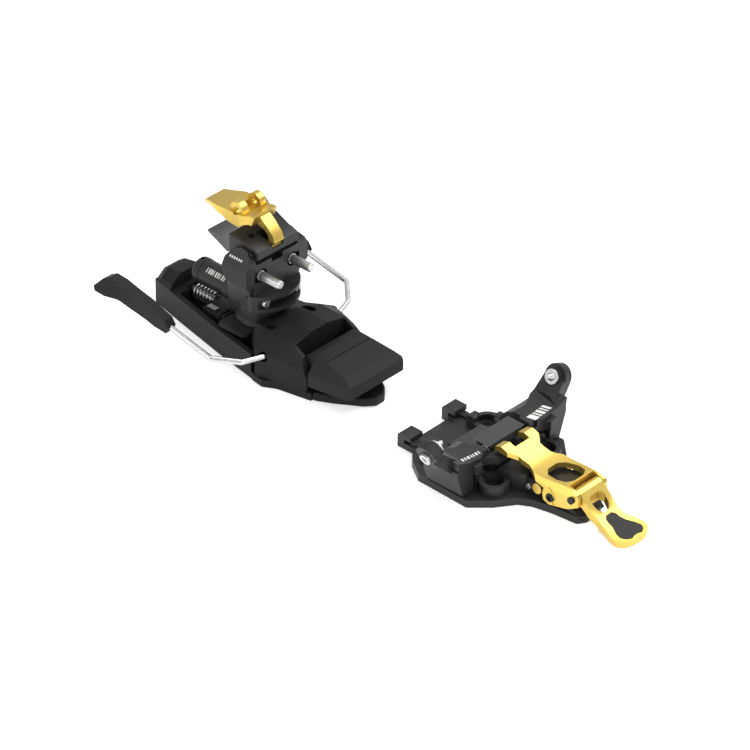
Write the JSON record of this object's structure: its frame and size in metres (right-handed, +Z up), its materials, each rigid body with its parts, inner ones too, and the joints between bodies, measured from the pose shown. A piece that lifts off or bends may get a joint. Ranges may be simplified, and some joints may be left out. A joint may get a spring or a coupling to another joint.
{
  "type": "ski touring binding",
  "caption": "Ski touring binding: a toe unit with hinged pin wings and folding lever, and a turning heel unit with pins, risers and a ski brake.",
  "frame": {"origin": "centre of the four toe screws on the ski top surface", "axes": "+X to the ski tip, +Y to the skier's left, +Z up from the ski"},
  "size_m": [0.3086, 0.1138, 0.0805],
  "materials": {
    "black_plastic": "fine moulded grain",
    "black_anodised": "matte black anodised",
    "gold_anodised": "gold anodised, satin",
    "steel": "turned and satin",
    "spring_steel": "drawn spring wire",
    "rubber": "fine pebbled",
    "white_marks": "white scale marks"
  },
  "bodies": {
    "base": {"toe_base_plate": "black_anodised", "toe_centre_block": "black_anodised", "toe_springs": "spring_steel", "crampon_receiver": "black_anodised", "wing_axle_left": "steel", "wing_axle_right": "steel", "yoke_pivot_pin": "steel", "detent_pins": "steel", "yoke_rollers": "gold_anodised", "heel_base_plate": "black_plastic", "rear_hood": "black_plastic", "brake_housing": "black_plastic", "front_tongue": "black_plastic", "pad_bracket": "black_plastic", "pad_pin": "steel", "adjuster_screw": "steel", "elastic_spring": "spring_steel", "brake_return_spring": "spring_steel"},
    "left_wing": {"wing_left": "black_anodised", "toe_pin_left": "steel"},
    "right_wing": {"wing_right": "black_anodised", "toe_pin_right": "steel"},
    "yoke": {"lever_yoke": "gold_anodised", "lock_lever_pin": "steel"},
    "front_lever": {"lock_lever": "gold_anodised", "lever_insert": "rubber"},
    "carriage": {"carriage": "black_anodised", "scale_plate": "white_marks"},
    "turret": {"turret_post": "black_anodised", "front_clamp": "black_anodised", "clamp_screws": "steel", "turret_head": "black_anodised", "pin_pivots": "steel", "release_barrel": "black_anodised", "barrel_cap": "black_anodised", "lateral_spring": "spring_steel", "riser_pin": "steel"},
    "left_heel_pin": {"heel_pin_left": "steel"},
    "right_heel_pin": {"heel_pin_right": "steel"},
    "low_riser": {"low_riser": "black_anodised", "riser_magnets": "steel"},
    "high_riser": {"high_riser": "gold_anodised"},
    "brake": {"brake_arm_left": "steel", "brake_arm_right": "steel", "brake_tip_left": "black_plastic", "brake_tip_right": "black_plastic", "brake_axle": "steel"},
    "pad": {"stomp_pad": "black_plastic"}
  },
  "joints": [
    {"name": "toe_lever", "type": "hinge", "parent": "base", "child": "yoke", "pos_m": [0.0475, 0, 0.0095], "axis": [0, 1, 0], "range_deg": [-7, 0]},
    {"name": "left_wing_turn", "type": "hinge", "parent": "base", "child": "left_wing", "pos_m": [0, 0.021, 0.0085], "axis": [1, 0, 0], "range_deg": [0, 21]},
    {"name": "right_wing_turn", "type": "hinge", "parent": "base", "child": "right_wing", "pos_m": [0, -0.021, 0.0085], "axis": [1, 0, 0], "range_deg": [-21, 0]},
    {"name": "lock_lever_fold", "type": "hinge", "parent": "yoke", "child": "front_lever", "pos_m": [0.06, 0, 0.0138], "axis": [0, 1, 0], "range_deg": [-70, 0]},
    {"name": "heel_elastic_travel", "type": "slide", "parent": "base", "child": "carriage", "axis": [1, 0, 0], "range_m": [-0.006, 0], "stiffness_N_per_m": 8000, "deforming": ["elastic_spring"]},
    {"name": "turret_turn", "type": "hinge", "parent": "carriage", "child": "turret", "pos_m": [-0.152, 0, 0.02], "axis": [0, 0, 1], "range_deg": [-90, 90]},
    {"name": "left_heel_pin_spread", "type": "hinge", "parent": "turret", "child": "left_heel_pin", "pos_m": [-0.1475, 0.0109, 0.0484], "axis": [0, 0, 1], "range_deg": [0, 8], "stiffness_Nm_per_rad": 2},
    {"name": "right_heel_pin_spread", "type": "hinge", "parent": "turret", "child": "right_heel_pin", "pos_m": [-0.1475, -0.0109, 0.0484], "axis": [0, 0, 1], "range_deg": [-8, 0], "stiffness_Nm_per_rad": 2},
    {"name": "high_riser_flip", "type": "hinge", "parent": "turret", "child": "high_riser", "pos_m": [-0.1445, 0, 0.0603], "axis": [0, 1, 0], "range_deg": [0, 128]},
    {"name": "low_riser_flip", "type": "hinge", "parent": "turret", "child": "low_riser", "pos_m": [-0.1445, 0, 0.0603], "axis": [0, 1, 0], "range_deg": [0, 128]},
    {"name": "brake_drop", "type": "hinge", "parent": "base", "child": "brake", "pos_m": [-0.125, 0, 0.016], "axis": [0, 1, 0], "range_deg": [-60, 0]},
    {"name": "pad_lift", "type": "hinge", "parent": "base", "child": "pad", "pos_m": [-0.108, 0, 0.0125], "axis": [0, 1, 0], "range_deg": [-24, 0]}
  ],
  "couplings": [
    {"joint": "left_wing_turn", "follows": "toe_lever", "ratio": -3},
    {"joint": "right_wing_turn", "follows": "toe_lever", "ratio": 3},
    {"joint": "low_riser_flip", "follows": "high_riser_flip", "ratio": 1},
    {"joint": "pad_lift", "follows": "brake_drop", "ratio": 0.4}
  ]
}
